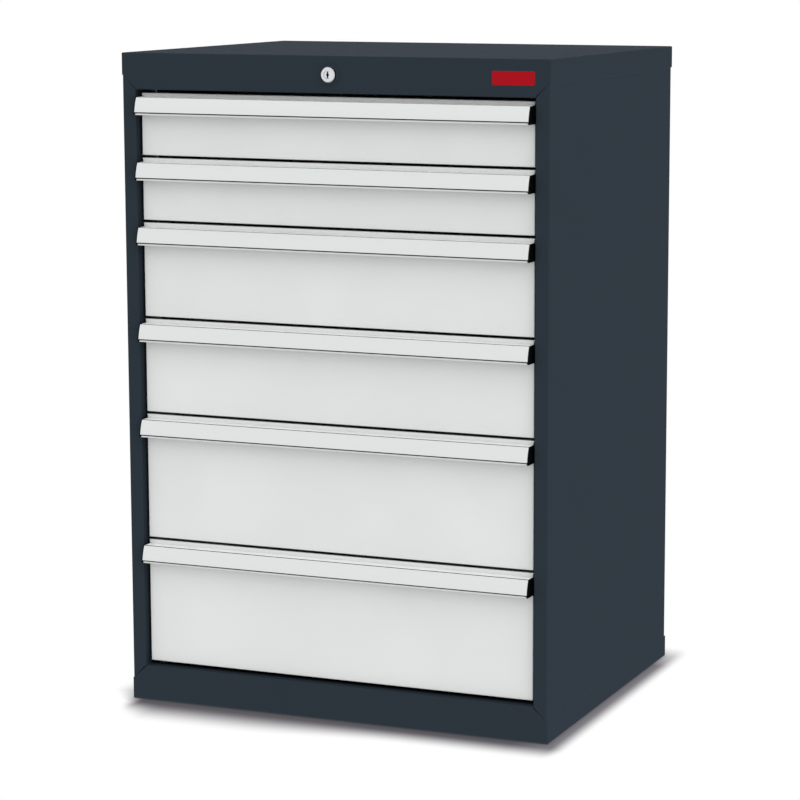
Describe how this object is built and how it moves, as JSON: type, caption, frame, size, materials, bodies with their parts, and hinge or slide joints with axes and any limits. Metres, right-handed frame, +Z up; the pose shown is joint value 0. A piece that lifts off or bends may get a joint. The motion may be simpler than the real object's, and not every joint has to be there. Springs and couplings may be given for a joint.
{
  "type": "multi-drawer cabinet",
  "caption": "Floor-standing workshop cabinet: folded steel housing, full-width handles, full-extension drawers graded from shallow to deep, and a central lock in the header.",
  "frame": {"origin": "on the floor, at the middle of the outline with the handles counted in", "axes": "+Z up, +Y from the drawer fronts to the back, +X to the right seen from the front"},
  "size_m": [0.701, 0.5868, 1.019],
  "materials": {
    "housing_paint": "fine satin powder coat, anthracite",
    "upright_zinc": "zinc-plated sheet",
    "drawer_paint": "fine satin powder coat, light grey",
    "drawer_box_paint": "satin powder coat, light grey",
    "handle_coat": "satin light grey coat on an aluminium extrusion",
    "label_paper": "matt light grey plastic strip",
    "cap_plastic": "black moulded plastic",
    "slide_zinc": "zinc-plated rolled steel",
    "lock_chrome": "satin nickel plate",
    "lock_zinc": "zinc-plated steel"
  },
  "bodies": {
    "housing": {"top_cover": "housing_paint", "base_pan": "housing_paint", "side_panel_left": "housing_paint", "side_panel_right": "housing_paint", "back_panel": "housing_paint", "uprights": "upright_zinc", "lock_housing": "lock_chrome", "lock_nut": "lock_zinc", "lock_guides": "lock_zinc", "drawer_1_cabinet_rails": "slide_zinc", "drawer_2_cabinet_rails": "slide_zinc", "drawer_3_cabinet_rails": "slide_zinc", "drawer_4_cabinet_rails": "slide_zinc", "drawer_5_cabinet_rails": "slide_zinc", "drawer_6_cabinet_rails": "slide_zinc"},
    "lock_cylinder": {"lock_plug": "lock_chrome", "lock_shaft": "lock_zinc"},
    "lock_bar": {"lock_bar": "lock_zinc"},
    "drawer_1": {"drawer_1_front": "drawer_paint", "drawer_1_box": "drawer_box_paint", "drawer_1_handle": "handle_coat", "drawer_1_label_strip": "label_paper", "drawer_1_handle_caps": "cap_plastic", "drawer_1_rails": "slide_zinc"},
    "middle_rails_1": {"drawer_1_middle_rails": "slide_zinc"},
    "drawer_2": {"drawer_2_front": "drawer_paint", "drawer_2_box": "drawer_box_paint", "drawer_2_handle": "handle_coat", "drawer_2_label_strip": "label_paper", "drawer_2_handle_caps": "cap_plastic", "drawer_2_rails": "slide_zinc"},
    "middle_rails_2": {"drawer_2_middle_rails": "slide_zinc"},
    "drawer_3": {"drawer_3_front": "drawer_paint", "drawer_3_box": "drawer_box_paint", "drawer_3_handle": "handle_coat", "drawer_3_label_strip": "label_paper", "drawer_3_handle_caps": "cap_plastic", "drawer_3_rails": "slide_zinc"},
    "middle_rails_3": {"drawer_3_middle_rails": "slide_zinc"},
    "drawer_4": {"drawer_4_front": "drawer_paint", "drawer_4_box": "drawer_box_paint", "drawer_4_handle": "handle_coat", "drawer_4_label_strip": "label_paper", "drawer_4_handle_caps": "cap_plastic", "drawer_4_rails": "slide_zinc"},
    "middle_rails_4": {"drawer_4_middle_rails": "slide_zinc"},
    "drawer_5": {"drawer_5_front": "drawer_paint", "drawer_5_box": "drawer_box_paint", "drawer_5_handle": "handle_coat", "drawer_5_label_strip": "label_paper", "drawer_5_handle_caps": "cap_plastic", "drawer_5_rails": "slide_zinc"},
    "middle_rails_5": {"drawer_5_middle_rails": "slide_zinc"},
    "drawer_6": {"drawer_6_front": "drawer_paint", "drawer_6_box": "drawer_box_paint", "drawer_6_handle": "handle_coat", "drawer_6_label_strip": "label_paper", "drawer_6_handle_caps": "cap_plastic", "drawer_6_rails": "slide_zinc"},
    "middle_rails_6": {"drawer_6_middle_rails": "slide_zinc"}
  },
  "joints": [
    {"name": "drawer_1_slide", "type": "slide", "parent": "housing", "child": "drawer_1", "axis": [0, -1, 0], "range_m": [0, 0.5]},
    {"name": "middle_rails_1_slide", "type": "slide", "parent": "housing", "child": "middle_rails_1", "axis": [0, -1, 0], "range_m": [0, 0.25]},
    {"name": "drawer_2_slide", "type": "slide", "parent": "housing", "child": "drawer_2", "axis": [0, -1, 0], "range_m": [0, 0.5]},
    {"name": "middle_rails_2_slide", "type": "slide", "parent": "housing", "child": "middle_rails_2", "axis": [0, -1, 0], "range_m": [0, 0.25]},
    {"name": "drawer_3_slide", "type": "slide", "parent": "housing", "child": "drawer_3", "axis": [0, -1, 0], "range_m": [0, 0.5]},
    {"name": "middle_rails_3_slide", "type": "slide", "parent": "housing", "child": "middle_rails_3", "axis": [0, -1, 0], "range_m": [0, 0.25]},
    {"name": "drawer_4_slide", "type": "slide", "parent": "housing", "child": "drawer_4", "axis": [0, -1, 0], "range_m": [0, 0.5]},
    {"name": "middle_rails_4_slide", "type": "slide", "parent": "housing", "child": "middle_rails_4", "axis": [0, -1, 0], "range_m": [0, 0.25]},
    {"name": "drawer_5_slide", "type": "slide", "parent": "housing", "child": "drawer_5", "axis": [0, -1, 0], "range_m": [0, 0.5]},
    {"name": "middle_rails_5_slide", "type": "slide", "parent": "housing", "child": "middle_rails_5", "axis": [0, -1, 0], "range_m": [0, 0.25]},
    {"name": "drawer_6_slide", "type": "slide", "parent": "housing", "child": "drawer_6", "axis": [0, -1, 0], "range_m": [0, 0.5]},
    {"name": "middle_rails_6_slide", "type": "slide", "parent": "housing", "child": "middle_rails_6", "axis": [0, -1, 0], "range_m": [0, 0.25]},
    {"name": "lock_turn", "type": "hinge", "parent": "housing", "child": "lock_cylinder", "pos_m": [0, -0.27865, 0.991], "axis": [0, 1, 0], "range_deg": [0, 90]},
    {"name": "lock_bar_slide", "type": "slide", "parent": "housing", "child": "lock_bar", "axis": [0, 0, 1], "range_m": [0, 0.0198]}
  ],
  "couplings": [
    {"joint": "middle_rails_1_slide", "follows": "drawer_1_slide", "ratio": 0.5},
    {"joint": "middle_rails_2_slide", "follows": "drawer_2_slide", "ratio": 0.5},
    {"joint": "middle_rails_3_slide", "follows": "drawer_3_slide", "ratio": 0.5},
    {"joint": "middle_rails_4_slide", "follows": "drawer_4_slide", "ratio": 0.5},
    {"joint": "middle_rails_5_slide", "follows": "drawer_5_slide", "ratio": 0.5},
    {"joint": "middle_rails_6_slide", "follows": "drawer_6_slide", "ratio": 0.5},
    {"joint": "lock_turn", "follows": "lock_bar_slide", "rad_per_m": 79.333}
  ]
}
